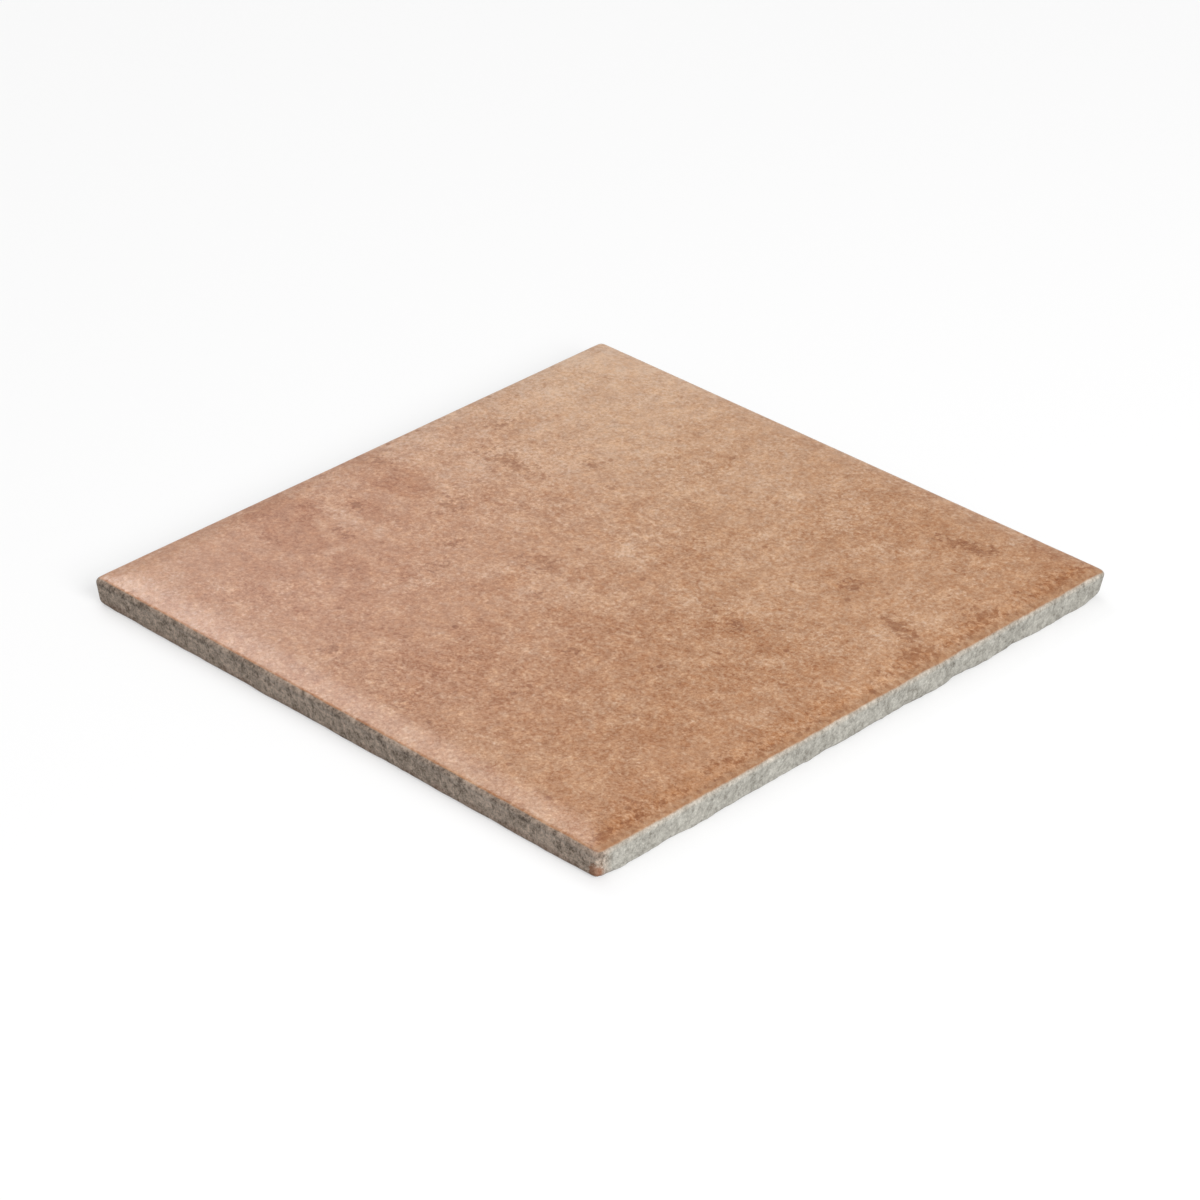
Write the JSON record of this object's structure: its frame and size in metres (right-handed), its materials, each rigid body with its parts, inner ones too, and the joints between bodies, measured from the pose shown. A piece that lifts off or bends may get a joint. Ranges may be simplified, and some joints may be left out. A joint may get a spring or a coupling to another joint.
{
  "type": "porcelain tile",
  "caption": "Square porcelain floor tile with a cushioned, rolled edge, a mottled terracotta-look glazed face, bare grey sides and a keyed back for laying in adhesive.",
  "frame": {"origin": "middle of the back plane, on which the tile lies", "axes": "+Z out of the glazed face, X and Y along the tile's sides"},
  "size_m": [0.197, 0.197, 0.0095],
  "materials": {
    "glazed_porcelain": "satin"
  },
  "bodies": {
    "root": {"porcelain_tile": "glazed_porcelain"}
  },
  "joints": []
}
